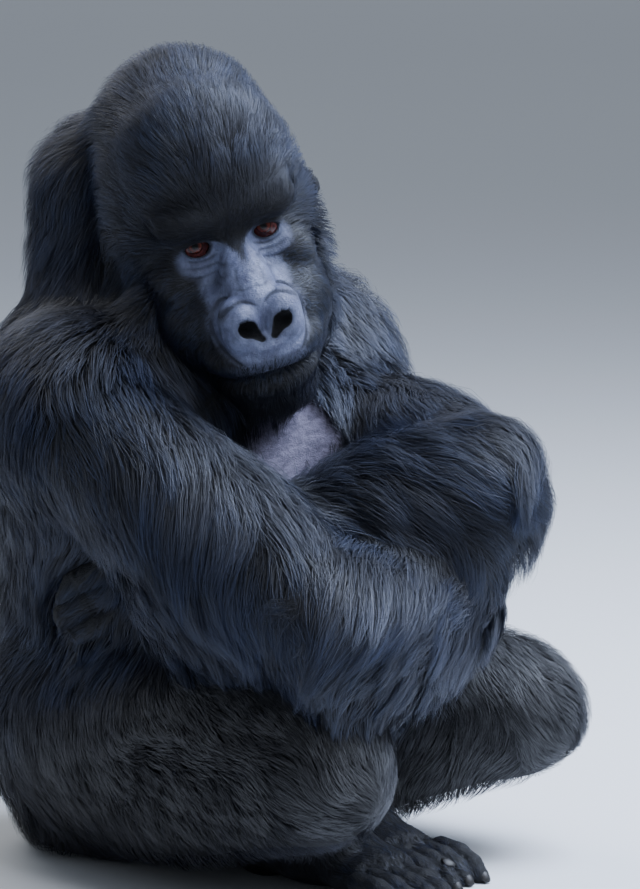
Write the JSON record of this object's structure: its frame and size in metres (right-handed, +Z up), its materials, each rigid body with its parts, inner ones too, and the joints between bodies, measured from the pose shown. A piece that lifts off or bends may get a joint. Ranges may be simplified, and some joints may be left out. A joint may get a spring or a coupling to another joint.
{
  "type": "seated gorilla model",
  "caption": "Life-size still model of an adult male mountain gorilla, sitting on the floor with folded arms and turned head.",
  "frame": {"origin": "on the floor, on the flat that the animal sits on, in the middle between its hips from side to side", "axes": "+Z up, the chest faces -Y, +X is the animal's left"},
  "size_m": [0.6172, 0.7214, 0.8578],
  "materials": {
    "fur": "dense blue-black hair, soft sheen",
    "bare_skin": "wrinkled grey-black skin, satin",
    "eye": "wet dark chestnut, glossy"
  },
  "bodies": {
    "root": {"head": "fur", "neck": "fur", "trunk": "fur", "upper_arm_right": "fur", "upper_arm_left": "fur", "forearm_right": "fur", "forearm_left": "fur", "thigh_right": "fur", "thigh_left": "fur", "lower_leg_right": "fur", "lower_leg_left": "fur", "hand_right": "bare_skin", "hand_left": "bare_skin", "foot_right": "bare_skin", "foot_left": "bare_skin", "ear_right": "bare_skin", "ear_left": "bare_skin", "eye_right": "eye", "eye_left": "eye"}
  },
  "joints": []
}
